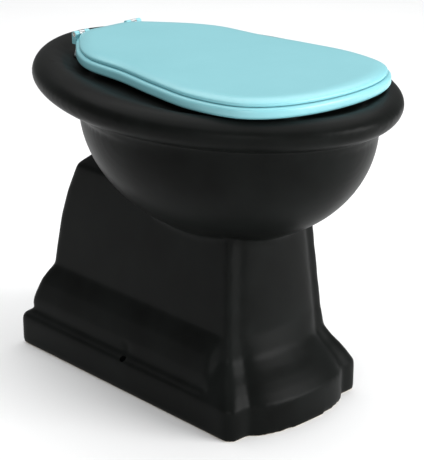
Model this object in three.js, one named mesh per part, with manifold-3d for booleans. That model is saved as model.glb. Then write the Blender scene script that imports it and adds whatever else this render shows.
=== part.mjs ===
// A floor-standing toilet pan with its seat ring and lid, in millimetres.
// +Z is up and the front of the pan looks along -Y. The origin is on the floor, under the middle of
// the rim. The seat and the lid are shut.

import * as THREE from 'three';
import { mergeVertices } from 'three/addons/utils/BufferGeometryUtils.js';
import Module from 'manifold-3d';

const wasm = await Module();
wasm.setup();

// ---------------------------------------------------------------- driving dimensions

// Rim and bowl
const rimLength = 514;
const rimWidth = 376;
const rimHeight = 400.5; // floor to the crest of the rim, at its sides
const rimRise = 5; // how much higher the crest is at the back, and lower at the front
const rimWidest = -19; // where along Y the rim is widest
const ovalFullness = 1.9; // 2 is an ellipse
const rollHeight = 39.5; // the rounded roll, from the fillet under it to its crest
const rollOverhang = 26; // the roll past the fillet
const rollFlat = 0.53; // share of the roll's height under its widest line
const crestInset = 26; // rim's outer edge to the crest
const dishMargin = 2.5; // seat's edge to the foot of the dish that it stands in
const dishDepth = 7; // crest to the flat under the seat
const filletHeight = 8;
const filletStep = 3;
const bellyDepth = 146; // the bowl's round belly under the fillet
const bellyBack = 86; // rim's back edge to the belly's back edge
const deckBack = 76; // rim's back edge to the fillet's back edge
const glazeWall = 13; // thickness of the china
const plinthWall = 24;
const rimLip = 9; // thickness of the lip that hangs inside the rim
const lipDrop = 34; // how far that lip hangs below the flat
const openingSide = 78; // rim's side to the bowl's mouth
const openingFront = 70;
const openingBack = 152;
const waterWay = 30; // width of the flushing channel inside the rim

// Pedestal and plinth
const plinthWidth = 222;
const plinthDepth = 399; // front of the corner pilasters to the back
const plinthBack = 10.5; // rim's back edge to the plinth's back face
const plinthHeight = 38;
const mouldingTop = 112; // floor to the top of the moulding over the plinth
const pilasterWidth = 33;
const bowDepth = 22; // how far the front bows out between the pilasters
const notchDepth = 2.5;
const cornerRadius = 9;
const frontCornerRadius = 15;
const footLength = 44; // flared foot of the front corners, along the side
const shoulderDrop = 146; // crest to the pedestal's shoulder behind the bowl
const humpHeight = 44; // shoulder to the top of the hump over the trap
const fixingHoleY = 42;
const fixingHoleBore = 9;

// Trap and pipes
const trapBore = 78;
const trapWall = 9;
const inletBore = 55;
const inletWall = 9;
const inletDrop = 76; // crest to the middle of the flush inlet
const inletBack = 24; // rim's back edge to the end of the inlet spigot
const flushPipe = 38;
const sealDepth = 24;

// Seat ring and lid
const seatSideMargin = 53; // rim's side to the ring's side
const seatFrontMargin = 36;
const seatBackMargin = 61;
const seatLift = 5; // flat of the rim to the ring's underside
const ringThickness = 12.5;
const lidGap = 1.5;
const lidThickness = 8;
const lidInset = 4.5; // ring's edge to the lid's edge
const lidRound = 18; // width of the rounded border on top of the lid
const ringOpeningLength = 268;
const ringOpeningWidth = 186;
const ringOpeningFront = 56; // ring's front edge to its opening

// Hinges, one on each side
const hingeTail = 9; // hinge axis to the ring's back edge
const axisDrop = 5.2; // lid's top to the hinge axis
const hingeSpacing = 84; // between the two pillars
const pillarWidth = 8;
const earWidth = 7;
const knuckleRadius = 4;
const lidChannel = 5.4; // radius of the channel in the ring under the lid's back edge
const pinDiameter = 3.2;
const bushWall = 0.9;
const plateThickness = 1.8;
const plateReach = 26; // hinge axis to the fixing screw, along Y
const screwSpacing = 124; // between the two fixing screws
const screwDiameter = 6;
const screwLength = 34;
const screwHole = 13; // hole in the rim for the expanding sleeve
const screwHoleDepth = 38;
const washerThickness = 0.8;
const screwHead = 11;
const plateRadius = 9.5; // round end of the plate at its screw
const pillarRadius = 7; // round end under the pillar
const sleeveLength = 20;
const nutLength = 7;

// Buffers
const bufferDiameter = 15;
const lidBufferDiameter = 11;

const ovalPoints = 44;
const seatPoints = 64;
const gap = 0.3; // between pieces that touch
const fit = 0.5; // between pieces that move on each other

// ---------------------------------------------------------------- derived places

const halfRim = rimLength / 2;
const filletTop = rimHeight - rollHeight;
const filletBottom = filletTop - filletHeight;
const bellyBottom = filletBottom - bellyDepth;
const flatHeight = rimHeight - dishDepth;
const ringBottom = flatHeight + seatLift;
const ringTop = ringBottom + ringThickness;
const lidBottom = ringTop + lidGap;
const lidTop = lidBottom + lidThickness;
const seatFront = -halfRim + seatFrontMargin;
const seatBack = halfRim - seatBackMargin;
const seatHalfWidth = rimWidth / 2 - seatSideMargin;
const axisY = seatBack - hingeTail;
const axisZ = lidTop - axisDrop;
const pillarX = hingeSpacing / 2;
const screwX = screwSpacing / 2;
const screwY = axisY - plateReach;
const plateBottom = flatHeight + washerThickness + 2 * gap;
const plateTop = plateBottom + plateThickness;
const back = halfRim - plinthBack;
const pilasterFront = back - plinthDepth;
const shoulderHeight = rimHeight - shoulderDrop;

// ---------------------------------------------------------------- materials

const material = (color, roughness, metalness = 0) =>
  new THREE.MeshStandardMaterial({ color, roughness, metalness });
const blackChina = material(0x1c1d1d, 0.35);
const blueThermoset = material(0x9dd8e0, 0.3);
const stainless = material(0xb9bcbd, 0.3, 1);
const darkRubber = material(0x26272a, 0.8);
const brass = material(0xb08d4a, 0.35, 1);
const whiteNylon = material(0xe9e8e2, 0.5);
const paleRubber = material(0xd9dadb, 0.7);

// ---------------------------------------------------------------- solids

// A closed geometry as a solid for joining and cutting.
function solid(geometry) {
  const bare = geometry.index ? geometry.toNonIndexed() : geometry.clone();
  bare.deleteAttribute('normal');
  bare.deleteAttribute('uv');
  const merged = mergeVertices(bare, 1e-4);
  return new wasm.Manifold(
    new wasm.Mesh({
      numProp: 3,
      vertProperties: merged.attributes.position.array,
      triVerts: new Uint32Array(merged.index.array),
    }),
  );
}

function geometryOf(shape) {
  const mesh = shape.getMesh();
  const geometry = new THREE.BufferGeometry();
  geometry.setAttribute('position', new THREE.BufferAttribute(mesh.vertProperties, 3));
  geometry.setIndex(new THREE.BufferAttribute(mesh.triVerts, 1));
  geometry.computeVertexNormals();
  return geometry;
}

// A closed body through level outlines, each with the same number of [x, y, z] points, from the
// lowest to the highest and anticlockwise seen from above. Each end is closed by a fan of faces.
function loft(rings) {
  const count = rings[0].length;
  const positions = rings.flat(2);
  const faces = [];
  for (let level = 0; level + 1 < rings.length; level++) {
    for (let i = 0; i < count; i++) {
      const a = level * count + i;
      const b = level * count + ((i + 1) % count);
      faces.push(a, b, b + count, a, b + count, a + count);
    }
  }
  for (const level of [0, rings.length - 1]) {
    const start = level * count;
    const centre = positions.length / 3;
    const ys = rings[level].map(([, y]) => y);
    positions.push(0, (Math.min(...ys) + Math.max(...ys)) / 2, rings[level][0][2]);
    for (let i = 0; i < count; i++) {
      const pair = [start + i, start + ((i + 1) % count)];
      faces.push(centre, ...(level ? pair : pair.reverse()));
    }
  }
  const geometry = new THREE.BufferGeometry();
  geometry.setAttribute('position', new THREE.Float32BufferAttribute(positions, 3));
  geometry.setIndex(faces);
  return geometry;
}

// A level oval with its own front, back and half width, widest at y = middle. An ellipse has a
// fullness of 2, and a leaner oval has less.
function oval(z, halfWidth, front, rear, middle = rimWidest, fullness = ovalFullness) {
  const points = [];
  const bent = (value) => Math.sign(value) * Math.abs(value) ** (2 / fullness);
  for (let i = 0; i < ovalPoints; i++) {
    const angle = (i / ovalPoints) * 2 * Math.PI;
    const reach = Math.sin(angle) < 0 ? middle - front : rear - middle;
    points.push([halfWidth * bent(Math.cos(angle)), middle + reach * bent(Math.sin(angle)), z]);
  }
  return points;
}

// The rim's own oval, drawn in by an inset all round.
const rimOval = (z, inset, extraBack = 0) =>
  oval(z, rimWidth / 2 - inset, -halfRim + inset, halfRim - inset - extraBack);

function box(x0, x1, y0, y1, z0, z1) {
  const geometry = new THREE.BoxGeometry(x1 - x0, y1 - y0, z1 - z0);
  return geometry.translate((x0 + x1) / 2, (y0 + y1) / 2, (z0 + z1) / 2);
}

// A round bar from one point to another.
function bar(from, to, radius, sides = 24) {
  const start = new THREE.Vector3(...from);
  const line = new THREE.Vector3(...to).sub(start);
  const geometry = new THREE.CylinderGeometry(radius, radius, line.length(), sides);
  geometry.translate(0, line.length() / 2, 0);
  const turn = new THREE.Quaternion().setFromUnitVectors(
    new THREE.Vector3(0, 1, 0),
    line.clone().normalize(),
  );
  return geometry.applyQuaternion(turn).translate(...from);
}

// A round piece turned about an upright axis from its half section of [radius, z] points.
function turned(profile, x = 0, y = 0, sides = 24) {
  const points = profile.map(([r, z]) => new THREE.Vector2(r, z));
  const geometry = new THREE.LatheGeometry(points, sides);
  return geometry.rotateX(Math.PI / 2).translate(x, y, 0);
}

// A washer, tube or bush: a plain ring about an upright axis.
const sleeve = (x, y, z0, z1, inner, outer, sides = 24) =>
  turned([[inner, z0], [outer, z0], [outer, z1], [inner, z1], [inner, z0]], x, y, sides);

const object = new THREE.Group();

function piece(name, shape, finish) {
  const geometry = shape.isBufferGeometry ? shape : geometryOf(shape);
  const mesh = new THREE.Mesh(geometry, finish);
  mesh.name = name;
  object.add(mesh);
}

const sides = [['left', -1], ['right', 1]];

// ---------------------------------------------------------------- seat outline

// The seat's outline: a broad front, a slight waist, and a nearly flat back with round corners.
// The points of the right half are shares of the half width and of the length from the front.
const seatShape = [
  [0, 0], [0.45, 0.019], [0.73, 0.061], [0.905, 0.124], [1, 0.266], [0.949, 0.434], [0.865, 0.592],
  [0.825, 0.744], [0.73, 0.823], [0.569, 0.9], [0.292, 0.992], [0, 1],
];

function seatOutline(z, inset) {
  const place = ([across, along], side) =>
    new THREE.Vector3(side * across * seatHalfWidth, seatFront + along * (seatBack - seatFront), z);
  const right = seatShape.map((point) => place(point, 1));
  const left = seatShape.slice(1, -1).reverse().map((point) => place(point, -1));
  const curve = new THREE.CatmullRomCurve3([...right, ...left], true);
  return Array.from({ length: seatPoints }, (_, i) => {
    const share = i / seatPoints;
    const at = curve.getPointAt(share);
    const along = curve.getTangentAt(share);
    return [at.x - along.y * inset, at.y + along.x * inset, z];
  });
}

// The seat's outline grown by a margin, met by lines from the middle of the rim to each given point
// and kept a little inside that point.
function underSeat(points, margin) {
  const outline = seatOutline(0, -margin);
  return points.map(([x, y]) => {
    const [dx, dy] = [x, y - rimWidest];
    for (let i = 0; i < outline.length; i++) {
      const [ax, ay] = outline[i];
      const [bx, by] = outline[(i + 1) % outline.length];
      const [ex, ey] = [bx - ax, by - ay];
      const cross = dx * ey - dy * ex;
      const reach = (ax * ey - (ay - rimWidest) * ex) / cross;
      const along = (ax * dy - (ay - rimWidest) * dx) / cross;
      if (reach <= 0 || along < 0 || along > 1) continue;
      const short = Math.min(reach, 0.94);
      return [dx * short, rimWidest + dy * short];
    }
    return [x, y];
  });
}

// ---------------------------------------------------------------- pan

const quarter = (steps) =>
  Array.from({ length: steps + 1 }, (_, i) => (i / steps) * (Math.PI / 2));

// The bowl's outside, from the foot of its belly to the crest of the rim, down into the dish and
// closed over the flat.
function bowlOutside() {
  const rings = [];
  const shell = filletStep + rollOverhang;
  for (const angle of quarter(9).slice(1)) {
    const size = Math.sin(angle);
    const z = filletBottom - bellyDepth * Math.cos(angle);
    const halfWidth = (rimWidth / 2 - shell) * size;
    const front = -halfRim + shell;
    const rear = halfRim - bellyBack;
    const centre = (front + rear) / 2 - 10 * (1 - size);
    const halfLength = ((rear - front) / 2) * size;
    rings.push(oval(z, halfWidth, centre - halfLength, centre + halfLength, centre));
  }
  const extraBack = deckBack - rollOverhang;
  rings.push(rimOval(filletBottom + 0.4, rollOverhang, extraBack));
  rings.push(rimOval(filletTop, rollOverhang, extraBack));
  const widest = filletTop + rollHeight * rollFlat;
  for (const angle of quarter(4).slice(1)) {
    const out = Math.sin(angle);
    const z = filletTop + (widest - filletTop) * (1 - Math.cos(angle));
    rings.push(rimOval(z, rollOverhang * (1 - out), extraBack * (1 - out)));
  }
  const raised = (ring, up) => ring.map(([x, y, z]) => [x, y, z + (rimRise * up * y) / halfRim]);
  for (const angle of quarter(5).slice(1)) {
    const up = Math.sin(angle);
    const inset = crestInset * (1 - Math.cos(angle));
    rings.push(raised(rimOval(widest + (rimHeight - widest) * up, inset), up));
  }
  const crest = rings[rings.length - 1];
  const foot = underSeat(crest, dishMargin);
  for (const share of [0.3, 0.6, 1]) {
    const level = (1 + Math.cos(Math.PI * share)) / 2;
    rings.push(
      crest.map(([x, y, z], i) => [
        x + (foot[i][0] - x) * share,
        y + (foot[i][1] - y) * share,
        flatHeight + (z - flatHeight) * level,
      ]),
    );
  }
  return solid(loft(rings));
}

// The bowl's inside: its mouth, the flushing channel behind the hanging lip, and the bowl down to
// its sump.
function bowlInside() {
  const halfMouth = rimWidth / 2 - openingSide;
  const mouthFront = -halfRim + openingFront;
  const mouthBack = halfRim - openingBack;
  const mouthMiddle = (mouthFront + mouthBack) / 2;
  const mouth = (z, grow) =>
    oval(z, halfMouth + grow, mouthFront - grow, mouthBack + grow, mouthMiddle);
  const lipBottom = flatHeight - lipDrop;
  const throat = solid(
    loft([mouth(lipBottom - 1, 0), mouth(flatHeight - 4, 0), mouth(flatHeight + 1, 3)]),
  );
  const channelWide = rimLip + waterWay;
  const channel = solid(
    loft([
      mouth(lipBottom - 12, channelWide - 8),
      mouth(lipBottom, channelWide),
      mouth(flatHeight - glazeWall - 5, channelWide),
      mouth(flatHeight - glazeWall, channelWide - 6),
    ]),
  );
  const lip = solid(loft([mouth(lipBottom, rimLip), mouth(flatHeight, rimLip)])).subtract(
    solid(loft([mouth(lipBottom - 2, 0), mouth(flatHeight + 2, 0)])),
  );
  const sumpY = 12;
  const sumpZ = bellyBottom + 16;
  const rings = [];
  const bowlSteps = [
    [0, 0.3, 0.3], [0.12, 0.42, 0.42], [0.3, 0.68, 0.68], [0.55, 0.9, 0.88], [0.8, 1, 0.97], [1, 1, 1],
  ];
  for (const [share, wide, long] of bowlSteps) {
    const z = sumpZ + (lipBottom - 12 - sumpZ) * share;
    const middle = sumpY + (mouthMiddle - sumpY) * long;
    const halfLength = ((mouthBack - mouthFront) / 2 + channelWide - 8) * long;
    const halfWidth = (halfMouth + channelWide - 8) * wide;
    rings.push(oval(z, halfWidth, middle - halfLength, middle + halfLength, middle));
  }
  return channel.subtract(lip).add(throat).add(solid(loft(rings)));
}

// How far the moulding is set back from the plinth's face at a height, for the flared front feet
// and for the round moulding along the sides and the back.
const flareSteps = [
  [0, 0], [plinthHeight, 0], [plinthHeight + 3, 2], [50, 6.5], [60, 12.5], [70, 19.5], [84, 27],
  [mouldingTop, 31],
];
const roundSteps = [
  [0, 0], [plinthHeight, 0], [plinthHeight + 4, 2.5], [46, 9], [51, 11.5], [54, 10], [64, 11],
  [76, 14.5], [90, 19], [101, 24.5], [mouldingTop, 31],
];

function setBack(steps, z) {
  const last = steps[steps.length - 1];
  if (z >= last[0]) return last[1];
  const i = steps.findIndex(([height]) => height > z);
  const [[z0, s0], [z1, s1]] = [steps[i - 1], steps[i]];
  return s0 + ((s1 - s0) * (z - z0)) / (z1 - z0);
}

// One level outline of the pedestal: bowed front between two pilasters, flat sides, flat back.
// taper is how much the sides, front and back close in above the moulding.
function pedestalOutline(z, taper) {
  const flare = setBack(flareSteps, z);
  const round = setBack(roundSteps, z);
  const halfFoot = plinthWidth / 2 - flare - taper.side;
  const halfSide = plinthWidth / 2 - round - taper.side;
  const front = pilasterFront + flare * 1.12 + taper.front;
  const rear = back - round * 1.06 - taper.back;
  const rise = Math.min(1, Math.max(0, (z - plinthHeight) / (mouldingTop - plinthHeight)));
  const corner = frontCornerRadius * (1 - 0.55 * rise);
  const notch = notchDepth * (1 - rise) + 0.2;
  const bow = bowDepth * (1 - 0.55 * rise);
  const bowEdge = halfFoot - Math.min(pilasterWidth * (1 - 0.45 * rise), halfFoot * 0.4);
  const half = [];
  for (const angle of quarter(9)) {
    const out = (bow + notch) * Math.cos(angle) - notch;
    half.push([bowEdge * Math.sin(angle), front - out]);
  }
  half.push([bowEdge + notch + 0.5, front]);
  for (const angle of quarter(4)) {
    const x = halfFoot - corner + corner * Math.sin(angle);
    half.push([x, front + corner - corner * Math.cos(angle)]);
  }
  const footEnd = Math.max(pilasterFront + footLength, front + corner + 2);
  half.push([halfFoot, footEnd], [halfSide, footEnd + 10]);
  for (const share of [0.3, 0.6]) half.push([halfSide, footEnd + (rear - footEnd) * share]);
  for (const angle of quarter(3)) {
    const x = halfSide - cornerRadius + cornerRadius * Math.cos(angle);
    half.push([x, rear - cornerRadius + cornerRadius * Math.sin(angle)]);
  }
  const whole = [...half, [0, rear], ...half.slice(1).reverse().map(([x, y]) => [-x, y])];
  return whole.map(([x, y]) => [x, y, z]);
}

function pedestal() {
  const rings = [];
  const levels = new Set([...flareSteps, ...roundSteps].map(([z]) => z));
  for (const z of [...levels].sort((a, b) => a - b)) {
    rings.push(pedestalOutline(z, { side: 0, front: 0, back: 0 }));
  }
  for (const [share, backSet] of [[0.25, 5], [0.5, 11], [0.75, 22], [1, 38]]) {
    const z = mouldingTop + (shoulderHeight - mouldingTop) * share;
    rings.push(pedestalOutline(z, { side: 12 * share, front: 11 * share, back: backSet }));
  }
  for (const [rise, sideSet, backSet] of [[0.3, 26, 52], [0.6, 42, 60], [1, 58, 74]]) {
    const z = shoulderHeight + humpHeight * rise;
    rings.push(pedestalOutline(z, { side: sideSet, front: 60, back: backSet }));
  }
  return solid(loft(rings));
}

// A pipe of round section along a smooth line.
function pipe(points, radius, steps = 16, corners = 20) {
  const path = new THREE.CatmullRomCurve3(points.map((p) => new THREE.Vector3(...p)));
  const section = new THREE.Shape();
  for (let i = 0; i < corners; i++) {
    const angle = (i / corners) * 2 * Math.PI;
    const [x, y] = [radius * Math.cos(angle), radius * Math.sin(angle)];
    if (i === 0) section.moveTo(x, y);
    else section.lineTo(x, y);
  }
  section.closePath();
  return solid(new THREE.ExtrudeGeometry(section, { steps, extrudePath: path, bevelEnabled: false }));
}

const trapPath = (start, end) => [
  [0, 22, bellyBottom + 52 + start],
  [0, 58, bellyBottom + 28],
  [0, 100, bellyBottom + 36],
  [0, 132, bellyBottom + 10],
  [0, 140, bellyBottom - 50],
  [0, 140, end],
];

// A slab with the outline of a hinge plate, grown by a margin: one round end at the screw and
// another under the pillar.
function plateSlab(side, margin, z0, z1) {
  const [postX, holeX] = [side * pillarX, side * screwX];
  const turn = Math.atan2(screwY - axisY, holeX - postX);
  const [quarterTurn, outline] = [Math.PI / 2, new THREE.Shape()];
  outline.absarc(holeX, screwY, plateRadius + margin, turn - quarterTurn, turn + quarterTurn, false);
  outline.absarc(postX, axisY, pillarRadius + margin, turn + quarterTurn, turn + 3 * quarterTurn, false);
  const settings = { depth: z1 - z0, bevelEnabled: false, curveSegments: 10 };
  return solid(new THREE.ExtrudeGeometry(outline, settings).translate(0, 0, z0));
}

// The cuts at one side: a slanting hole for a floor screw in the plinth's ledge, with a shallow
// scoop in the moulding over it, the hole for the hinge's screw and sleeve, and the dish's wall
// cleared round the hinge plate.
function fixingHoles(side) {
  const x = side * (plinthWidth / 2 - 4.5);
  const z = plinthHeight + 4.5;
  const outer = [x + side * 9, fixingHoleY, z + 9];
  const inner = [x - side * 40, fixingHoleY, z - 40];
  const scoop = new THREE.SphereGeometry(12, 20, 12);
  scoop.translate(x + side * 3.5, fixingHoleY, z + 13.5);
  const top = [side * screwX, screwY, flatHeight + 5];
  const foot = [side * screwX, screwY, flatHeight - screwHoleDepth];
  return [
    solid(bar(outer, inner, fixingHoleBore / 2, 16)),
    solid(scoop),
    solid(bar(top, foot, screwHole / 2, 20)),
    plateSlab(side, gap, flatHeight, rimHeight + rimRise + 1),
  ];
}

function pan() {
  const trapEnd = 14;
  const trapOutside = pipe(trapPath(0, trapEnd), trapBore / 2 + trapWall);
  const trapInside = pipe(trapPath(4, -5), trapBore / 2);
  const inletZ = rimHeight - inletDrop;
  const inletEnd = halfRim - inletBack;
  const inletOutside = solid(bar([0, 150, inletZ], [0, inletEnd, inletZ], inletBore / 2 + inletWall));
  const inletInside = solid(bar([0, 128, inletZ], [0, inletEnd + 5, inletZ], inletBore / 2));
  const belly = bowlOutside();
  const hollowLevels = [
    [-1, plinthWall, plinthWall + 2], [plinthHeight, plinthWall, plinthWall + 2],
    [90, 31 + glazeWall + 3, 54], [shoulderHeight - 22, 31 + glazeWall + 9, 54],
  ];
  const hollow = solid(
    loft(
      hollowLevels.map(([z, sideWall, frontWall]) => {
        const across = plinthWidth / 2 - sideWall;
        const rear = back - 54 - Math.max(0, z - 90) * 0.22;
        const front = pilasterFront + frontWall;
        return [[across, front, z], [across, rear, z], [-across, rear, z], [-across, front, z]];
      }),
    ),
  )
    .subtract(belly)
    .subtract(trapOutside);
  const holes = sides.flatMap(([, side]) => fixingHoles(side));
  let body = belly.add(pedestal()).add(inletOutside);
  for (const cut of [bowlInside(), hollow, trapInside, inletInside, ...holes]) body = body.subtract(cut);
  return body;
}

piece('pan', pan(), blackChina);

// The soft cone that seals the flush pipe into the inlet: a sleeve in the bore with a collar over
// the end of the spigot.
{
  const end = halfRim - inletBack;
  const outer = inletBore / 2 - gap;
  const inner = flushPipe / 2;
  const profile = [
    [inner, -sealDepth], [outer - 2, -sealDepth], [outer, -sealDepth + 4], [outer, gap],
    [inletBore / 2 + 4, gap], [inletBore / 2 + 4, 3], [inner + 3, 6], [inner, 6], [inner, -sealDepth],
  ];
  const seal = new THREE.LatheGeometry(profile.map(([r, y]) => new THREE.Vector2(r, y)), 32);
  piece('inlet_seal', seal.translate(0, end, rimHeight - inletDrop), darkRubber);
}

// ---------------------------------------------------------------- seat ring and lid

// The edge of a moulded plate: insets and heights of a rounded border, from the bottom up.
const edge = (steps) => solid(loft(steps.map(([z, inset]) => seatOutline(z, inset))));

const ringOpening = (z, grow) => {
  const front = seatFront + ringOpeningFront;
  const middle = front + ringOpeningLength / 2;
  return oval(z, ringOpeningWidth / 2 + grow, front - grow, front + ringOpeningLength + grow, middle, 2);
};

// A round bar along X.
const crossBar = (x0, x1, y, z, radius, corners = 24) => bar([x0, y, z], [x1, y, z], radius, corners);

// A block along X between two distances from the middle, on the side given.
const sideBlock = (side, near, far, y0, y1, z0, z1) =>
  solid(box(Math.min(side * near, side * far), Math.max(side * near, side * far), y0, y1, z0, z1));

const sideBar = (side, near, far, radius) =>
  solid(crossBar(side * near, side * far, axisY, axisZ, radius));

const pillarNear = pillarX - pillarWidth / 2;
const pillarFar = pillarX + pillarWidth / 2;
const ringEarNear = pillarFar + fit;
const ringEarFar = ringEarNear + earWidth;
const lidEarFar = pillarNear - fit;
const lidEarNear = lidEarFar - earWidth;
const clearRadius = knuckleRadius + 2 * fit;
const bushRadius = pinDiameter / 2 + gap + bushWall;

function seatRing() {
  let body = edge([
    [ringBottom, 4], [ringBottom + 1.2, 1.4], [ringBottom + 3.5, 0], [ringTop - 3, 0],
    [ringTop - 0.9, 1.1], [ringTop, 3.5],
  ]);
  body = body.subtract(
    solid(
      loft([
        ringOpening(ringBottom - 1, 4), ringOpening(ringBottom + 3, 0), ringOpening(ringTop - 5, 0),
        ringOpening(ringTop - 1.5, 2.5), ringOpening(ringTop + 1, 10),
      ]),
    ),
  );
  // A shallow channel that the lid's back edge turns in.
  body = body.subtract(solid(crossBar(-pillarNear, pillarNear, axisY, axisZ, lidChannel, 32)));
  const neck = knuckleRadius - 0.5;
  const start = axisY - clearRadius;
  for (const [, side] of sides) {
    body = body
      .subtract(sideBlock(side, pillarNear - fit, pillarFar + fit, start, seatBack + 5, 0, lidTop))
      .add(sideBlock(side, ringEarNear, ringEarFar, axisY - neck, axisY + neck, ringBottom + 5, axisZ))
      .add(sideBar(side, ringEarNear, ringEarFar, knuckleRadius))
      .subtract(sideBar(side, ringEarNear - 1, ringEarFar + 1, bushRadius + gap));
  }
  return body;
}

function lid() {
  const roundHeight = lidThickness - 3;
  let body = edge([
    [lidBottom, lidInset + 1.5], [lidBottom + 1, lidInset + 0.4], [lidBottom + 3, lidInset],
    ...quarter(5).slice(1).map((angle) => [
      lidBottom + 3 + roundHeight * Math.sin(angle), lidInset + lidRound * (1 - Math.cos(angle)),
    ]),
  ]);
  const start = axisY - clearRadius;
  for (const [, side] of sides) {
    body = body
      .add(sideBar(side, lidEarNear, lidEarFar, knuckleRadius))
      .subtract(sideBlock(side, lidEarFar, ringEarFar + fit, start, seatBack + 5, ringTop, lidTop + 9))
      .subtract(sideBar(side, lidEarNear + 1, lidEarFar + 1, bushRadius + gap));
  }
  return body;
}

piece('seat_ring', seatRing(), blueThermoset);
piece('lid', lid(), blueThermoset);

// ---------------------------------------------------------------- hinges

// A pressed plate that lies on the rim, with the upright knuckle that carries the pin.
function hingePillar(side) {
  const neck = knuckleRadius - 0.5;
  const sink = turned(
    [[0, plateBottom - 0.5], [screwDiameter / 2 + gap, plateBottom - 0.5],
      [screwDiameter / 2 + gap, plateBottom + 0.3], [screwHead / 2 + gap, plateTop - 0.4],
      [screwHead / 2 + gap, plateTop + 1], [0, plateTop + 1]],
    side * screwX,
    screwY,
  );
  return plateSlab(side, 0, plateBottom, plateTop)
    .add(sideBlock(side, pillarNear, pillarFar, axisY - neck, axisY + neck, plateBottom, axisZ))
    .add(sideBar(side, pillarNear, pillarFar, knuckleRadius))
    .subtract(sideBar(side, pillarNear - 1, pillarFar + 1, pinDiameter / 2 + gap))
    .subtract(solid(sink));
}

for (const [name, side] of sides) {
  piece(`hinge_pillar_${name}`, hingePillar(side), stainless);
  const pinEnds = [side * (lidEarNear + 1.5), side * (ringEarFar - 0.5)];
  piece(`hinge_pin_${name}`, crossBar(...pinEnds, axisY, axisZ, pinDiameter / 2, 20), stainless);
  for (const [part, near, far] of [['ring', ringEarNear, ringEarFar], ['lid', lidEarNear + 1, lidEarFar]]) {
    const tube = sideBar(side, near + gap, far - gap, bushRadius)
      .subtract(sideBar(side, near - 1, far + 1, pinDiameter / 2 + gap));
    piece(`${part}_bush_${name}`, tube, whiteNylon);
  }
  const [x, y] = [side * screwX, screwY];
  const shank = screwDiameter / 2;
  const washerBottom = flatHeight + gap;
  const washerTop = washerBottom + washerThickness;
  const washer = sleeve(x, y, washerBottom, washerTop, shank + gap, plateRadius - 0.5);
  piece(`plate_washer_${name}`, washer, darkRubber);
  const headTop = plateTop - 0.1;
  const screwEnd = flatHeight - screwLength;
  const screw = turned(
    [[0, screwEnd], [shank - 0.8, screwEnd], [shank, screwEnd + 1],
      [shank, plateBottom + 0.8], [screwHead / 2, headTop - 0.1], [screwHead / 2, headTop],
      [1.8, headTop], [1.8, headTop - 0.9], [0, headTop - 0.9]],
    x, y,
  );
  piece(`fixing_screw_${name}`, screw, stainless);
  const sleeveTop = flatHeight - 2;
  const outer = screwHole / 2 - gap;
  const rubber = sleeve(x, y, sleeveTop - sleeveLength, sleeveTop, shank + gap, outer);
  piece(`expanding_sleeve_${name}`, rubber, darkRubber);
  const nutTop = sleeveTop - sleeveLength - gap;
  const nut = solid(bar([x, y, nutTop - nutLength], [x, y, nutTop], outer - 0.4, 6))
    .subtract(solid(bar([x, y, nutTop - nutLength - 1], [x, y, nutTop + 1], shank + gap)));
  piece(`expander_nut_${name}`, nut, brass);
}

// ---------------------------------------------------------------- buffers

// Soft feet of the ring, over the rim's flat, and of the lid, over the ring. Places are shares of
// the seat's half width and of its length from the front.
const buffers = [
  ['ring_buffer', [[0.4, 0.085], [0.68, 0.77]], flatHeight, ringBottom, bufferDiameter],
  ['lid_buffer', [[0.52, 0.085], [0.66, 0.7]], ringTop, lidBottom, lidBufferDiameter],
];
for (const [name, places, floor, ceiling, diameter] of buffers) {
  for (const [end, [across, along]] of [['front', places[0]], ['back', places[1]]]) {
    for (const [hand, side] of sides) {
      const [z0, z1, r] = [floor + gap, ceiling - gap, diameter / 2];
      const round = Math.min(1, (z1 - z0) / 3);
      const foot = turned(
        [[0, z0], [r - round, z0], [r, z0 + round], [r, z1], [0, z1]],
        side * across * seatHalfWidth,
        seatFront + along * (seatBack - seatFront),
      );
      piece(`${name}_${end}_${hand}`, foot, paleRubber);
    }
  }
}

export default object;
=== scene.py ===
# A floor-standing toilet pan in black glazed china, with a light blue seat ring and lid.
# Lengths are in metres, +Z is up, and the front of the pan looks along -Y.

import math

import bpy
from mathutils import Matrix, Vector


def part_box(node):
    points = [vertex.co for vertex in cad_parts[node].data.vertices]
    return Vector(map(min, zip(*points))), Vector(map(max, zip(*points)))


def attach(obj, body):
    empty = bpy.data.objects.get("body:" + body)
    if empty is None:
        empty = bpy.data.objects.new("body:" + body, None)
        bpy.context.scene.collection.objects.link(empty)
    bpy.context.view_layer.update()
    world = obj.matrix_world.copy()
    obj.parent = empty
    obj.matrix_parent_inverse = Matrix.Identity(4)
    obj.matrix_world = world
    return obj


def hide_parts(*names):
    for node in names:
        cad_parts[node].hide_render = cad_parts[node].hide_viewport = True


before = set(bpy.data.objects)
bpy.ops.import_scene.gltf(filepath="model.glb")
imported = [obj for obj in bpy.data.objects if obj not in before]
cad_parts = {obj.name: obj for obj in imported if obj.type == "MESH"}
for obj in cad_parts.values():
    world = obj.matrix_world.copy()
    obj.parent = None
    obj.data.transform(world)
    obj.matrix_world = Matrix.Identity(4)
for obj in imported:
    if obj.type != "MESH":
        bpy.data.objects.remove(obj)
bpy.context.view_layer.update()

# ------------------------------------------------------------------ pan

# The pan is one casting: a hollow rim, a round bowl, a pedestal and a stepped plinth. It is
# vitreous china, slip-cast in plaster, glazed black all over and fired standing on its foot, which
# is left bare. Two screws through its sides hold it to the floor.

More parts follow.
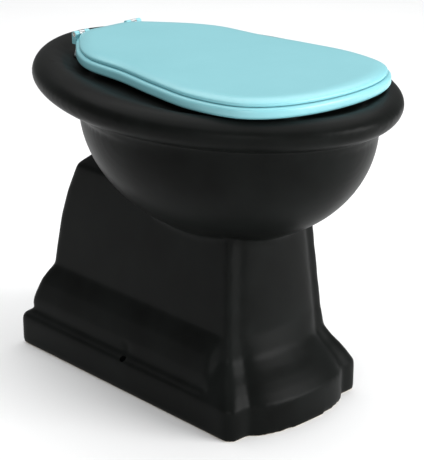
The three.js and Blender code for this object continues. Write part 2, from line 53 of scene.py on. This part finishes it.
MM = 0.001
rim_low, rim_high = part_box("pan")
rim_half_width = rim_high.x
rim_front, rim_back = rim_low.y, rim_high.y
rim_middle = -19 * MM
rim_rise = 5 * MM
crest = 400.5 * MM
roll_foot = 361 * MM
roll_widest = 382 * MM
roll_overhang = 26 * MM
crest_inset = 26 * MM
deck_set_back = 50 * MM
belly_top = 353 * MM
belly_depth = 146 * MM
belly_inset = 29 * MM
belly_front = rim_front + belly_inset
belly_back = rim_back - 86 * MM
belly_lean = 10 * MM
skin_thickness = 4.5 * MM
china_grain = 3.2 * MM
floor_hole = Vector((106.5, 42, 42.5)) * MM
floor_hole_radius = 4.5 * MM
floor_hole_length = 44 * MM


def oval(z, half_width, front, back, middle, count=176, fullness=1.9):
    """One level line of the rim or the bowl: an oval with its own front and back."""
    line = []
    for i in range(count):
        angle = 2 * math.pi * i / count
        across, along = math.cos(angle), math.sin(angle)
        across = math.copysign(abs(across) ** (2 / fullness), across)
        along = math.copysign(abs(along) ** (2 / fullness), along)
        reach = middle - front if along < 0 else back - middle
        line.append((half_width * across, middle + reach * along, z))
    return line


def lofted(name, lines, close_ends=False):
    """A skin through level lines of equally many points, from the lowest to the highest."""
    count = len(lines[0])
    points = [p for line in lines for p in line]
    faces = []
    for start in range(0, count * (len(lines) - 1), count):
        for i in range(count):
            j = (i + 1) % count
            faces.append((start + i, start + j, start + count + j, start + count + i))
    if close_ends:
        faces.append(tuple(reversed(range(count))))
        faces.append(tuple((len(lines) - 1) * count + i for i in range(count)))
    mesh = bpy.data.meshes.new(name)
    mesh.from_pydata(points, [], faces)
    piece = bpy.data.objects.new(name, mesh)
    bpy.context.scene.collection.objects.link(piece)
    return piece


def pick(*pieces):
    """Selects these pieces and nothing else, with the first one active."""
    bpy.ops.object.select_all(action="DESELECT")
    for piece in pieces:
        piece.select_set(True)
    bpy.context.view_layer.objects.active = pieces[0]


def finish_with(piece, kind, **settings):
    """Adds a modifier to a piece and applies it."""
    pick(piece)
    modifier = piece.modifiers.new(kind.title(), kind)
    for name, value in settings.items():
        setattr(modifier, name, value)
    bpy.ops.object.modifier_apply(modifier=modifier.name)


def cast_of(node, name):
    """A merged copy of a CAD node's mesh, as a new piece."""
    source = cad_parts[node]
    piece = bpy.data.objects.new(name, source.data.copy())
    piece.data.materials.clear()
    bpy.context.scene.collection.objects.link(piece)
    pick(piece)
    bpy.ops.object.mode_set(mode="EDIT")
    bpy.ops.mesh.select_all(action="SELECT")
    bpy.ops.mesh.remove_doubles(threshold=0.01 * MM)
    bpy.ops.object.mode_set(mode="OBJECT")
    return piece


def smoothed(piece, degrees):
    """Smooth shading up to an angle between faces, with the larger faces kept flat."""
    pick(piece)
    bpy.ops.object.shade_smooth_by_angle(angle=math.radians(degrees))
    finish_with(piece, "WEIGHTED_NORMAL", keep_sharp=True, weight=90)


def cut(piece, tool):
    """Cuts a closed shape out of a piece."""
    finish_with(piece, "BOOLEAN", operation="DIFFERENCE", solver="MANIFOLD", object=tool)
    bpy.data.objects.remove(tool)


def rim_line(z, inset, back_inset=0.0):
    """One level line of the rim, drawn in all round by an inset and further at the back."""
    return oval(z, rim_half_width - inset, rim_front + inset, rim_back - inset - back_inset, rim_middle)


def quarter(steps):
    """The angles of a quarter turn, without the first."""
    return [math.pi / 2 * (i + 1) / steps for i in range(steps)]


lines = []
for angle in quarter(24)[3:]:
    size = math.sin(angle)
    centre = (belly_front + belly_back) / 2 - belly_lean * (1 - size)
    half_length = (belly_back - belly_front) / 2 * size
    z = belly_top - belly_depth * math.cos(angle)
    half_width = (rim_half_width - belly_inset) * size
    lines.append(oval(z, half_width, centre - half_length, centre + half_length, centre))
lines.append(rim_line(belly_top + 0.4 * MM, roll_overhang, deck_set_back))
lines.append(rim_line(roll_foot, roll_overhang, deck_set_back))
for angle in quarter(12):
    out = math.sin(angle)
    z = roll_foot + (roll_widest - roll_foot) * (1 - math.cos(angle))
    lines.append(rim_line(z, roll_overhang * (1 - out), deck_set_back * (1 - out)))
for angle in quarter(16):
    up = math.sin(angle)
    line = rim_line(roll_widest + (crest - roll_widest) * up, crest_inset * (1 - math.cos(angle)))
    lines.append([(x, y, z + rim_rise * up * y / rim_back) for x, y, z in line])
skin = lofted("pan_skin", lines)
finish_with(skin, "SOLIDIFY", thickness=skin_thickness, offset=-1)

pan = cast_of("pan", "pan_china")
pick(pan, skin)
bpy.ops.object.join()
finish_with(pan, "REMESH", mode="VOXEL", voxel_size=china_grain)
finish_with(pan, "SMOOTH", factor=0.5, iterations=7)
for side in (-1, 1):
    mouth = Vector((side * floor_hole.x, floor_hole.y, floor_hole.z))
    way = Vector((-side, 0, -1)).normalized()
    bpy.ops.mesh.primitive_cylinder_add(
        vertices=40, radius=floor_hole_radius, depth=floor_hole_length,
        location=mouth + way * 10 * MM, rotation=way.to_track_quat("Z", "Y").to_euler(),
    )
    cut(pan, bpy.context.object)
finish_with(pan, "DECIMATE", ratio=0.62)
smoothed(pan, 60)
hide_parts("pan")
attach(pan, "pan_body")

# Glazed vitreous china. The glaze pools and thins a little, so its black drifts towards grey-green
# where it is thin, and its skin has a faint orange peel. The bare foot shows the buff clay.


def linear(code):
    """An sRGB hex colour as linear red, green, blue and alpha."""
    parts = [int(code[i:i + 2], 16) / 255 for i in (1, 3, 5)]
    return (*[p / 12.92 if p <= 0.04045 else ((p + 0.055) / 1.055) ** 2.4 for p in parts], 1.0)


def new_material(name, **shader):
    """A material with its shader's own sockets set. Returns it, its nodes' tree and the shader."""
    material = bpy.data.materials.new(name)
    material.use_nodes = True
    tree = material.node_tree
    skin = tree.nodes["Principled BSDF"]
    for socket, value in shader.items():
        skin.inputs[socket.replace("_", " ")].default_value = value
    return material, tree, skin


def add_node(tree, kind, settings=None, **links):
    """Adds a node with its settings, and a value or a link for each input, named or numbered as _0."""
    node = tree.nodes.new(kind)
    for name, value in (settings or {}).items():
        setattr(node, name, value)
    for name, value in links.items():
        socket = node.inputs[int(name[1:]) if name[1:].isdigit() else name.replace("_", " ")]
        if isinstance(value, bpy.types.NodeSocket):
            tree.links.new(value, socket)
        else:
            socket.default_value = value
    return node


def ramp(tree, factor, stops):
    """A colour ramp over a factor, from (place, colour) stops."""
    node = add_node(tree, "ShaderNodeValToRGB", Fac=factor)
    band = node.color_ramp.elements
    while len(band) < len(stops):
        band.new(0.5)
    for element, (place, colour) in zip(band, stops):
        element.position = place
        element.color = colour
    return node.outputs["Color"]


def grey(value):
    """A plain number as a ramp's colour."""
    return (value, value, value, 1.0)


china, tree, shader = new_material("glazed_vitreous_china", IOR=1.5, Specular_IOR_Level=0.05)
place = add_node(tree, "ShaderNodeTexCoord").outputs["Object"]
pooling = add_node(tree, "ShaderNodeTexNoise", Vector=place, Scale=14.0, Detail=3.0, Roughness=0.55)
peel = add_node(tree, "ShaderNodeTexNoise", Vector=place, Scale=320.0, Detail=2.0, Roughness=0.5)
ripple = add_node(tree, "ShaderNodeTexNoise", Vector=place, Scale=22.0, Detail=1.0, Roughness=0.4)
pinholes = add_node(tree, "ShaderNodeTexVoronoi", Vector=place, Scale=150.0, Randomness=1.0)
glaze = ramp(tree, pooling.outputs["Fac"], [(0.3, linear("#0b0c0b")), (0.72, linear("#131514"))])
height = add_node(tree, "ShaderNodeSeparateXYZ", Vector=place).outputs["Z"]
foot = add_node(tree, "ShaderNodeMath", {"operation": "LESS_THAN"}, _0=height, _1=0.9 * MM)
foot = foot.outputs["Value"]
clay_grain = add_node(tree, "ShaderNodeTexNoise", Vector=place, Scale=900.0, Detail=4.0)
clay = ramp(tree, clay_grain.outputs["Fac"], [(0.3, linear("#b8ab97")), (0.7, linear("#d6ccba"))])
coat = add_node(tree, "ShaderNodeMix", {"data_type": "RGBA"}, Factor=foot, _6=glaze, _7=clay)
tree.links.new(coat.outputs[2], shader.inputs["Base Color"])
polish = ramp(tree, pooling.outputs["Fac"], [(0.25, grey(0.34)), (0.75, grey(0.42))])
dull = add_node(tree, "ShaderNodeMix", {"data_type": "RGBA"}, Factor=foot, _6=polish, _7=grey(0.9))
tree.links.new(dull.outputs[2], shader.inputs["Roughness"])
dot = ramp(tree, pinholes.outputs["Distance"], [(0.0, grey(0.0)), (0.06, grey(1.0))])
relief = None
for height, strength, depth in (
    (peel.outputs["Fac"], 0.12, 0.15 * MM),
    (dot, 0.06, 0.2 * MM),
    (ripple.outputs["Fac"], 0.12, 1.2 * MM),
):
    under = {"Normal": relief.outputs["Normal"]} if relief else {}
    relief = add_node(tree, "ShaderNodeBump", Strength=strength, Distance=depth, Height=height, **under)
tree.links.new(relief.outputs["Normal"], shader.inputs["Normal"])
pan.data.materials.clear()
pan.data.materials.append(china)

# ------------------------------------------------------------------ seat ring and lid

# The ring and the lid are compression moulded in solid thermoset, urea powder pressed hot in a
# polished steel mould. The ring stands on four buffers, and the lid on four more over the ring.

seat_low, seat_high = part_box("seat_ring")
seat_front, seat_back = seat_low.y, 196 * MM
seat_half_width = seat_high.x
ring_bottom, ring_top = 398.5 * MM, 411 * MM
lid_low, lid_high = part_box("lid")
lid_bottom, lid_top = lid_low.z, lid_high.z
lid_inset, lid_round = 4.5 * MM, 18 * MM
axis_y, axis_z = 187 * MM, 415.3 * MM
hole_front = seat_front + 56 * MM
hole_length = 268 * MM
hole_half_width = 93 * MM
post_near, post_far = 38 * MM, 46 * MM
slack = 0.5 * MM
ear_width = 7 * MM
neck = 3.5 * MM
clearance = 5 * MM
knuckle, bush_bore, channel = 4 * MM, 3.1 * MM, 5.8 * MM
ear_near = post_far + slack
ear_far = ear_near + ear_width
lid_ear_far = post_near - slack
lid_ear_near = lid_ear_far - ear_width
seat_length = seat_back - seat_front
seat_shape = [
    (0, 0), (0.45, 0.019), (0.73, 0.061), (0.905, 0.124), (1, 0.266), (0.949, 0.434), (0.865, 0.592),
    (0.825, 0.744), (0.73, 0.823), (0.569, 0.9), (0.292, 0.992), (0, 1),
]
right = [Vector((a * seat_half_width, seat_front + b * seat_length)) for a, b in seat_shape]
seat_points = right + [Vector((-point.x, point.y)) for point in reversed(right[1:-1])]


def seat_line(z, inset, count=220):
    """The seat's outline at a height, drawn in by an inset: a smooth line through its points."""
    dense = []
    total = len(seat_points)
    for i in range(total):
        a, b, c, d = (seat_points[(i + k) % total] for k in (-1, 0, 1, 2))
        ab, bc, cd = ((q - p).length ** 0.5 for p, q in ((a, b), (b, c), (c, d)))
        leave = ((b - a) / ab - (c - a) / (ab + bc) + (c - b) / bc) * bc
        arrive = ((c - b) / bc - (d - b) / (bc + cd) + (d - c) / cd) * bc
        for k in range(40):
            t = k / 40
            dense.append(
                b * (2 * t**3 - 3 * t**2 + 1) + leave * (t**3 - 2 * t**2 + t)
                + c * (3 * t**2 - 2 * t**3) + arrive * (t**3 - t**2)
            )
    run = [0.0]
    for p, q in zip(dense, dense[1:] + dense[:1]):
        run.append(run[-1] + (q - p).length)
    line, k = [], 0
    for i in range(count):
        goal = run[-1] * i / count
        while run[k + 1] < goal:
            k += 1
        p, q = dense[k], dense[(k + 1) % len(dense)]
        share = (goal - run[k]) / (run[k + 1] - run[k])
        along = (q - p).normalized()
        at = p.lerp(q, share)
        line.append((at.x - along.y * inset, at.y + along.x * inset, z))
    return line


def join_on(piece, extra):
    """Joins a closed shape onto a piece."""
    finish_with(piece, "BOOLEAN", operation="UNION", solver="MANIFOLD", object=extra)
    bpy.data.objects.remove(extra)


def block(x0, x1, y0, y1, z0, z1):
    """A plain block to cut or join with, between two places along each axis."""
    bpy.ops.mesh.primitive_cube_add(size=1, location=((x0 + x1) / 2, (y0 + y1) / 2, (z0 + z1) / 2))
    piece = bpy.context.object
    piece.scale = (x1 - x0, y1 - y0, z1 - z0)
    pick(piece)
    bpy.ops.object.transform_apply(location=True, rotation=True, scale=True)
    return piece


def cross_bar(x0, x1, radius, sides=48):
    """A round bar along the hinge line, to cut or join with."""
    bpy.ops.mesh.primitive_cylinder_add(
        vertices=sides, radius=radius, depth=x1 - x0,
        location=((x0 + x1) / 2, axis_y, axis_z), rotation=(0, math.pi / 2, 0),
    )
    piece = bpy.context.object
    pick(piece)
    bpy.ops.object.transform_apply(location=True, rotation=True, scale=True)
    return piece


def ring_hole(z, grow):
    """One level line of the ring's oval opening, an ellipse grown by a margin."""
    middle = hole_front + hole_length / 2
    rear = hole_front + hole_length
    return oval(z, hole_half_width + grow, hole_front - grow, rear + grow, middle, 140, 2)


ring_steps = [
    (0.0, 4.0), (0.25, 2.7), (0.8, 1.7), (1.6, 0.8), (2.6, 0.25), (3.8, 0), (8.7, 0), (10.1, 0.35),
    (11.2, 1.0), (11.9, 1.9), (12.3, 2.9), (12.5, 4.2), (12.5, 5.2),
]
lines = [seat_line(ring_bottom + z * MM, inset * MM) for z, inset in ring_steps]
seat_ring = lofted("seat_ring_moulding", lines, close_ends=True)
hole_steps = [
    (-1, 5.5), (0.3, 3.6), (1.2, 1.6), (3.2, 0), (7.3, 0), (9.4, 0.8), (11, 2.4), (12, 5), (12.45, 8),
    (13.2, 12),
]
lines = [ring_hole(ring_bottom + z * MM, grow * MM) for z, grow in hole_steps]
cut(seat_ring, lofted("seat_ring_hole", lines, close_ends=True))
cut(seat_ring, cross_bar(-post_near, post_near, channel))
for side in (-1, 1):
    x = sorted((side * (post_near - slack), side * (post_far + slack)))
    cut(seat_ring, block(*x, axis_y - clearance, seat_back + clearance, 0, lid_top))
    ear = sorted((side * ear_near, side * ear_far))
    join_on(seat_ring, block(*ear, axis_y - neck, axis_y + neck, ring_bottom + 5 * MM, axis_z))
    join_on(seat_ring, cross_bar(*ear, knuckle))
    cut(seat_ring, cross_bar(ear[0] - 1 * MM, ear[1] + 1 * MM, bush_bore))
smoothed(seat_ring, 42)

lid_steps = [(0, 1.6 * MM), (0.4 * MM, 0.8 * MM), (1.2 * MM, 0.25 * MM), (3 * MM, 0)]
for angle in quarter(12):
    lid_steps.append((3 * MM + 5 * MM * math.sin(angle), lid_round * (1 - math.cos(angle))))
lid_steps.append((8 * MM, lid_round + 1.5 * MM))
lines = [seat_line(lid_bottom + z, lid_inset + inset) for z, inset in lid_steps]
lid = lofted("lid_moulding", lines, close_ends=True)
for side in (-1, 1):
    ear = sorted((side * lid_ear_near, side * lid_ear_far))
    join_on(lid, cross_bar(*ear, knuckle))
    x = sorted((side * lid_ear_far, side * (ear_far + slack)))
    cut(lid, block(*x, axis_y - clearance, seat_back + clearance, ring_top, lid_top + 9 * MM))
    bore = sorted((side * (lid_ear_near + 1 * MM), side * (lid_ear_far + 1 * MM)))
    cut(lid, cross_bar(*bore, bush_bore))
smoothed(lid, 42)

# Urea thermoset, moulded in polished steel: one even light blue through the whole thickness, a
# semi-gloss skin, a very slight flow mottle and faint wiping marks in its shine.
thermoset, tree, shader = new_material("urea_thermoset", IOR=1.54)
place = add_node(tree, "ShaderNodeTexCoord").outputs["Object"]
mottle = add_node(tree, "ShaderNodeTexNoise", Vector=place, Scale=9.0, Detail=4.0, Roughness=0.6)
grain = add_node(tree, "ShaderNodeTexNoise", Vector=place, Scale=1400.0, Detail=2.0)
stretch = add_node(tree, "ShaderNodeMapping", Vector=place, Scale=(30, 900, 30), Rotation=(0, 0, 0.5))
wiping = add_node(tree, "ShaderNodeTexNoise", Vector=stretch.outputs["Vector"], Scale=1.0, Roughness=0.7)
hue = ramp(tree, mottle.outputs["Fac"], [(0.3, linear("#7fbdc5")), (0.7, linear("#85c2ca"))])
tree.links.new(hue, shader.inputs["Base Color"])
gloss = ramp(tree, wiping.outputs["Fac"], [(0.3, grey(0.33)), (0.7, grey(0.29))])
tree.links.new(gloss, shader.inputs["Roughness"])
fine = add_node(tree, "ShaderNodeBump", Strength=0.03, Distance=0.05 * MM, Height=grain.outputs["Fac"])
tree.links.new(fine.outputs["Normal"], shader.inputs["Normal"])
for piece, node, body in ((seat_ring, "seat_ring", "ring_body"), (lid, "lid", "lid_body")):
    piece.data.materials.clear()
    piece.data.materials.append(thermoset)
    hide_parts(node)
    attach(piece, body)

# ------------------------------------------------------------------ hinges

# Each hinge is a pressed stainless plate with an upright knuckle, screwed down from above into an
# expanding rubber sleeve in the china. A plain pin joins it to the ring's ear and the lid's ear, and
# both ears turn on nylon bushes.


def softened(node, name, bevel, material, body):
    """A CAD piece with its sharp edges broken, standing for its node."""
    piece = cast_of(node, name)
    sharp = math.radians(50)
    finish_with(piece, "BEVEL", width=bevel, segments=2, limit_method="ANGLE", angle_limit=sharp)
    smoothed(piece, 40)
    piece.data.materials.append(material)
    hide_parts(node)
    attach(piece, body)
    return piece


# Stainless steel, pressed and then polished by wheel: bright, with fine scratches along it.
stainless, tree, shader = new_material("polished_stainless_steel", Metallic=1.0)
place = add_node(tree, "ShaderNodeTexCoord").outputs["Object"]
stretch = add_node(tree, "ShaderNodeMapping", Vector=place, Scale=(200.0, 3500.0, 3500.0))
brushing = add_node(tree, "ShaderNodeTexNoise", Vector=stretch.outputs["Vector"], Scale=1.0, Detail=4.0)
smear = add_node(tree, "ShaderNodeTexNoise", Vector=place, Scale=120.0, Detail=3.0)
tone = ramp(tree, smear.outputs["Fac"], [(0.3, linear("#b3b6b8")), (0.7, linear("#c6c8c9"))])
tree.links.new(tone, shader.inputs["Base Color"])
rough = ramp(tree, brushing.outputs["Fac"], [(0.3, grey(0.2)), (0.7, grey(0.38))])
tree.links.new(rough, shader.inputs["Roughness"])
relief = add_node(
    tree, "ShaderNodeBump", Strength=0.08, Distance=0.03 * MM, Height=brushing.outputs["Fac"]
)
tree.links.new(relief.outputs["Normal"], shader.inputs["Normal"])

# Nylon, injection moulded: a milky white with a soft waxy sheen.
nylon, tree, shader = new_material("natural_nylon", IOR=1.53)
place = add_node(tree, "ShaderNodeTexCoord").outputs["Object"]
wax = add_node(tree, "ShaderNodeTexNoise", Vector=place, Scale=260.0, Detail=3.0)
tone = ramp(tree, wax.outputs["Fac"], [(0.3, linear("#e4e2d8")), (0.7, linear("#efeee8"))])
tree.links.new(tone, shader.inputs["Base Color"])
rough = ramp(tree, wax.outputs["Fac"], [(0.3, grey(0.42)), (0.7, grey(0.55))])
tree.links.new(rough, shader.inputs["Roughness"])

# Rubber, moulded black with carbon: matt, slightly dusty, with a fine tool texture.
rubber, tree, shader = new_material("moulded_black_rubber", IOR=1.5, Specular_IOR_Level=0.35)
place = add_node(tree, "ShaderNodeTexCoord").outputs["Object"]
bloom = add_node(tree, "ShaderNodeTexNoise", Vector=place, Scale=60.0, Detail=5.0, Roughness=0.65)
texture = add_node(tree, "ShaderNodeTexNoise", Vector=place, Scale=1500.0, Detail=2.0)
tone = ramp(tree, bloom.outputs["Fac"], [(0.35, linear("#1f2022")), (0.7, linear("#36373a"))])
tree.links.new(tone, shader.inputs["Base Color"])
rough = ramp(tree, bloom.outputs["Fac"], [(0.3, grey(0.68)), (0.7, grey(0.85))])
tree.links.new(rough, shader.inputs["Roughness"])
pebble = add_node(tree, "ShaderNodeBump", Strength=0.2, Distance=0.08 * MM, Height=texture.outputs["Fac"])
tree.links.new(pebble.outputs["Normal"], shader.inputs["Normal"])

# Brass, turned from hexagon bar: warm yellow, with fine turning rings and a little tarnish.
brass, tree, shader = new_material("turned_brass", Metallic=1.0)
place = add_node(tree, "ShaderNodeTexCoord").outputs["Object"]
tarnish = add_node(tree, "ShaderNodeTexNoise", Vector=place, Scale=180.0, Detail=4.0)
stretch = add_node(tree, "ShaderNodeMapping", Vector=place, Scale=(60.0, 60.0, 2600.0))
turning = add_node(tree, "ShaderNodeTexNoise", Vector=stretch.outputs["Vector"], Scale=1.0, Detail=2.0)
tone = ramp(tree, tarnish.outputs["Fac"], [(0.3, linear("#9c7a3e")), (0.65, linear("#c8a45c"))])
tree.links.new(tone, shader.inputs["Base Color"])
rough = ramp(tree, turning.outputs["Fac"], [(0.3, grey(0.25)), (0.7, grey(0.45))])
tree.links.new(rough, shader.inputs["Roughness"])
rings = add_node(tree, "ShaderNodeBump", Strength=0.1, Distance=0.03 * MM, Height=turning.outputs["Fac"])
tree.links.new(rings.outputs["Normal"], shader.inputs["Normal"])

for hand in ("left", "right"):
    for node, name, bevel, material, slot, body in (
        ("hinge_pillar", "hinge_plate", 0.3, stainless, "hinge_steel", "pan_body"),
        ("hinge_pin", "pin", 0.25, stainless, "hinge_steel", "pan_body"),
        ("fixing_screw", "screw", 0.12, stainless, "hinge_steel", "pan_body"),
        ("ring_bush", "bush_of_ring", 0.12, nylon, "white_nylon", "ring_body"),
        ("lid_bush", "bush_of_lid", 0.12, nylon, "white_nylon", "lid_body"),
        ("plate_washer", "washer", 0.15, rubber, "dark_rubber", "pan_body"),
        ("expanding_sleeve", "sleeve", 0.5, rubber, "dark_rubber", "pan_body"),
        ("expander_nut", "nut", 0.3, brass, "nut_brass", "pan_body"),
    ):
        softened(f"{node}_{hand}", f"{name}_{hand}", bevel * MM, material, body)

# ------------------------------------------------------------------ buffers

# Soft round feet, pressed into the undersides of the ring and the lid. They are a pale moulded
# elastomer that keeps the mouldings off the china and off each other.

elastomer, tree, shader = new_material("pale_elastomer", IOR=1.48)
place = add_node(tree, "ShaderNodeTexCoord").outputs["Object"]
cloud = add_node(tree, "ShaderNodeTexNoise", Vector=place, Scale=130.0, Detail=4.0)
matt = add_node(tree, "ShaderNodeTexNoise", Vector=place, Scale=1600.0, Detail=1.0)
tone = ramp(tree, cloud.outputs["Fac"], [(0.3, linear("#d2d5d5")), (0.7, linear("#e1e4e4"))])
tree.links.new(tone, shader.inputs["Base Color"])
rough = ramp(tree, cloud.outputs["Fac"], [(0.3, grey(0.55)), (0.7, grey(0.72))])
tree.links.new(rough, shader.inputs["Roughness"])
pebble = add_node(tree, "ShaderNodeBump", Strength=0.15, Distance=0.05 * MM, Height=matt.outputs["Fac"])
tree.links.new(pebble.outputs["Normal"], shader.inputs["Normal"])

for hand in ("left", "right"):
    for end in ("front", "back"):
        for owner, bevel in (("ring", 0.5 * MM), ("lid", 0.15 * MM)):
            node = f"{owner}_buffer_{end}_{hand}"
            name = f"foot_of_{owner}_{end}_{hand}"
            softened(node, name, bevel, elastomer, f"{owner}_body")

# ------------------------------------------------------------------ flush inlet seal

# A rubber cone pushed into the flush inlet at the back, where the flush pipe plugs into it.

softened("inlet_seal", "flush_cone", 0.8 * MM, rubber, "pan_body")

# ------------------------------------------------------------------ floor, lights and camera

# A pale matt studio floor, a wide soft light overhead, a weaker one from the front right, and a dim
# even surround.

bpy.ops.mesh.primitive_plane_add(size=40, location=(0, 0, -0.3 * MM))
floor = bpy.context.object
floor.name = "studio_floor"
floor.data.name = "studio_floor"
paint, tree, shader = new_material("matt_white_paint", Roughness=0.9, Specular_IOR_Level=0.1)
place = add_node(tree, "ShaderNodeTexCoord").outputs["Object"]
roller = add_node(tree, "ShaderNodeTexNoise", Vector=place, Scale=3.0, Detail=2.0)
tone = ramp(tree, roller.outputs["Fac"], [(0.3, linear("#f4f4f4")), (0.7, linear("#f6f6f6"))])
tree.links.new(tone, shader.inputs["Base Color"])
floor.data.materials.append(paint)


def soft_light(name, place, aim, width, height, watts):
    """A wide lamp at a place, aimed at a point."""
    lamp = bpy.data.lights.new(name, "AREA")
    lamp.shape = "RECTANGLE"
    lamp.size = width
    lamp.size_y = height
    lamp.energy = watts
    holder = bpy.data.objects.new(name, lamp)
    bpy.context.scene.collection.objects.link(holder)
    holder.location = place
    holder.rotation_euler = (Vector(aim) - Vector(place)).to_track_quat("-Z", "Y").to_euler()


soft_light("overhead", (0.3, 0.6, 3.0), (0, 0.1, 0), 4.5, 4.5, 126)
soft_light("front_right", (1.1, -2.4, 1.0), (0, 0, 0.2), 1.8, 1.4, 86)
soft_light("front_left", (-2.6, -1.7, 0.9), (0, 0, 0.3), 1.6, 1.2, 24)
world = bpy.data.worlds.new("surround")
world.use_nodes = True
world.node_tree.nodes["Background"].inputs["Color"].default_value = linear("#f2f4f5")
world.node_tree.nodes["Background"].inputs["Strength"].default_value = 0.3
bpy.context.scene.world = world
bpy.context.scene.view_settings.view_transform = "Standard"

lens = bpy.data.cameras.new("camera")
lens.lens = 126.66
lens.sensor_width = 36
lens.shift_x = 0.0079
lens.shift_y = -0.0049
lens.clip_end = 60
camera = bpy.data.objects.new("camera", lens)
bpy.context.scene.collection.objects.link(camera)
camera.location = (-1.2659, -1.3486, 0.8921)
camera.rotation_euler = Vector((0.6404, 0.6831, -0.3510)).to_track_quat("-Z", "Y").to_euler()
bpy.context.scene.camera = camera
